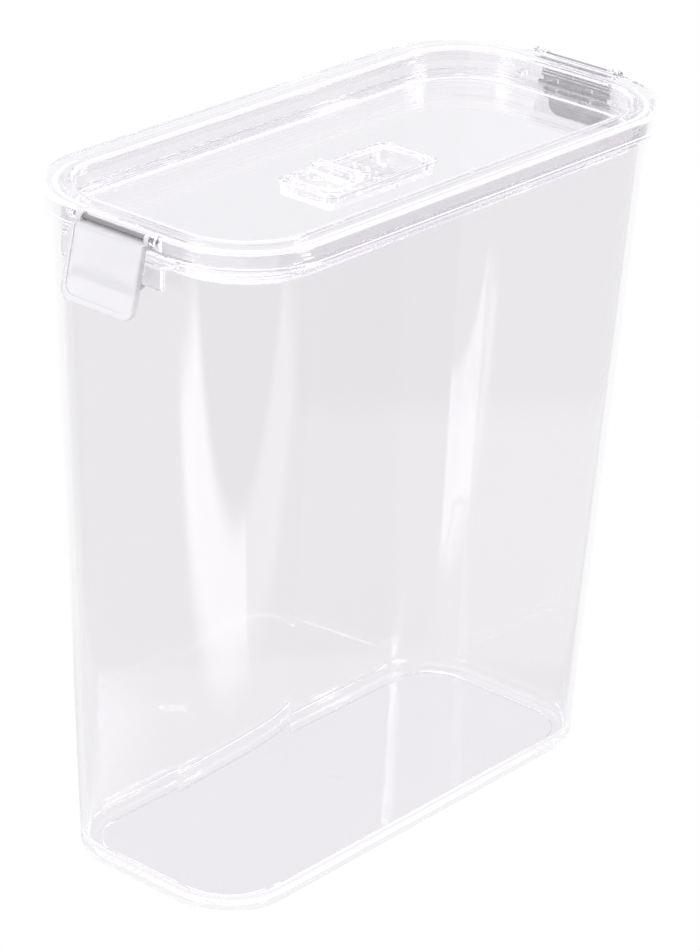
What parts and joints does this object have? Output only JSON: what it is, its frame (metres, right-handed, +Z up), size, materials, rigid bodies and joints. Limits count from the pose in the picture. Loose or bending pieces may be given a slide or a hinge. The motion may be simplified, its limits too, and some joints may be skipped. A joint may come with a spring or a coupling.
{
  "type": "lidded storage canister",
  "caption": "Tall clear tapered food canister with a clip-on gasketed lid, hinged end latches and a sliding air vent in the lid.",
  "frame": {"origin": "middle of the foot ring that the canister stands on", "axes": "+X along the long side towards the rear latch, +Y along the short side, +Z up towards the lid"},
  "size_m": [0.2614, 0.115, 0.2534],
  "materials": {
    "container_clear": "clear moulded plastic, polished inside and out, very slightly lilac grey",
    "lid_clear": "clear moulded plastic, polished",
    "vent_clear": "clear moulded plastic, polished",
    "latch_frosted": "frosted translucent moulded plastic",
    "silicone": "translucent satin silicone",
    "pin_steel": "drawn steel wire, slightly dull"
  },
  "bodies": {
    "container": {"container": "container_clear"},
    "lid": {"lid": "lid_clear", "lid_gasket": "silicone", "front_hinge_pin": "pin_steel", "rear_hinge_pin": "pin_steel", "vent_frame": "vent_clear", "vent_gasket": "silicone"},
    "front_latch": {"front_latch": "latch_frosted"},
    "rear_latch": {"rear_latch": "latch_frosted"},
    "vent_slider": {"vent_slider": "vent_clear", "slider_seal": "silicone"}
  },
  "joints": [
    {"name": "lid_lift", "type": "slide", "parent": "container", "child": "lid", "axis": [0, 0, 1], "range_m": [0, 0.12]},
    {"name": "front_latch_hinge", "type": "hinge", "parent": "lid", "child": "front_latch", "pos_m": [-0.1213, 0, 0.2517], "axis": [0, 1, 0], "range_deg": [0, 120]},
    {"name": "rear_latch_hinge", "type": "hinge", "parent": "lid", "child": "rear_latch", "pos_m": [0.1213, 0, 0.2517], "axis": [0, -1, 0], "range_deg": [0, 120]},
    {"name": "vent_slide", "type": "slide", "parent": "lid", "child": "vent_slider", "axis": [1, 0, 0], "range_m": [0, 0.006]}
  ]
}
